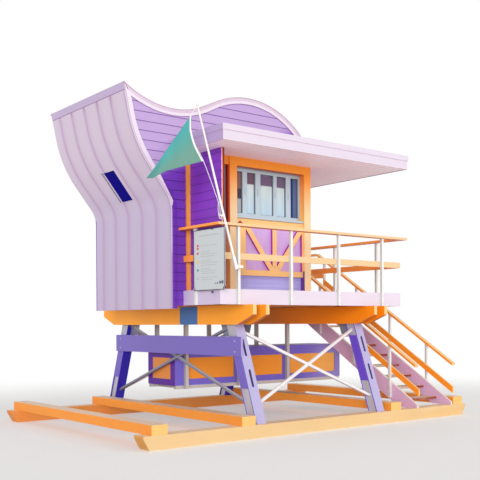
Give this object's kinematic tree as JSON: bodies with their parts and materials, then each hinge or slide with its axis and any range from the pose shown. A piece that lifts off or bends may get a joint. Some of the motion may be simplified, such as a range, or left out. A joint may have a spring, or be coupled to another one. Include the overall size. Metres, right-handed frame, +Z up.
{
  "type": "beach lifeguard tower",
  "caption": "Raised timber beach cabin with an S-curved wall and wave roof, railed deck, outside stair, cross-braced legs on a skid frame, gear locker, notice board and flag",
  "frame": {"origin": "on the ground, on the underside of the front skid, midway between the legs", "axes": "+X along the window front to the stair side, +Y from the front skid to the back, +Z up"},
  "size_m": [7.16, 4.834, 5.574],
  "materials": {
    "skid_paint": "weathered gloss paint on timber",
    "orange_paint": "satin paint on timber",
    "deck_paint": "worn paint on boards",
    "galvanised": "dull galvanised steel",
    "leg_paint": "satin paint on boards",
    "blush_paint": "satin paint on timber",
    "lilac_paint": "satin paint on panels",
    "violet_paint": "satin paint on lap siding",
    "roof_sheet": "painted roofing sheet",
    "floor_cover": "painted plywood",
    "door_paint": "satin paint on plywood",
    "window_alu": "mill finish",
    "window_glass": "clear glass",
    "post_paint": "painted square steel tube",
    "mauve_paint": "satin paint on timber",
    "plank_paint": "satin paint on timber",
    "plate_blue": "enamelled plate",
    "board_white": "printed aluminium sheet",
    "pole_paint": "painted wooden pole",
    "flag_cloth": "thin nylon flag cloth",
    "rope": "braided rope",
    "locker_paint": "satin paint on timber",
    "panel_orange": "satin paint on plywood"
  },
  "bodies": {
    "root": {"front_skid": "skid_paint", "rear_skid": "skid_paint", "cross_beams": "orange_paint", "front_legs": "galvanised", "rear_legs": "galvanised", "leg_boards": "leg_paint", "end_braces": "galvanised", "side_braces": "galvanised", "floor_beams": "orange_paint", "floor_joists": "orange_paint", "deck_floor": "deck_paint", "deck_fascia": "blush_paint", "cabin_floor": "floor_cover", "curved_wall": "lilac_paint", "front_gable_wall": "violet_paint", "rear_gable_wall": "violet_paint", "right_wall": "violet_paint", "side_door": "door_paint", "wave_roof": "roof_sheet", "edge_boards": "blush_paint", "flat_roof": "blush_paint", "flat_roof_fascia": "blush_paint", "bay_left_wall": "violet_paint", "window_wall": "violet_paint", "window_surround": "orange_paint", "panel_truss": "leg_paint", "window_frames": "window_alu", "window_glass": "window_glass", "corner_post": "orange_paint", "railing_posts": "post_paint", "top_rails": "orange_paint", "mid_rails": "orange_paint", "stair_stringers": "mauve_paint", "stair_treads": "mauve_paint", "stair_posts": "post_paint", "stair_handrails": "orange_paint", "name_plank": "plank_paint", "number_plate": "plate_blue", "notice_board": "board_white", "flag_pole": "pole_paint", "flag": "flag_cloth", "halyard": "rope", "locker_body": "locker_paint", "locker_panels": "panel_orange", "locker_hangers": "galvanised"}
  },
  "joints": []
}
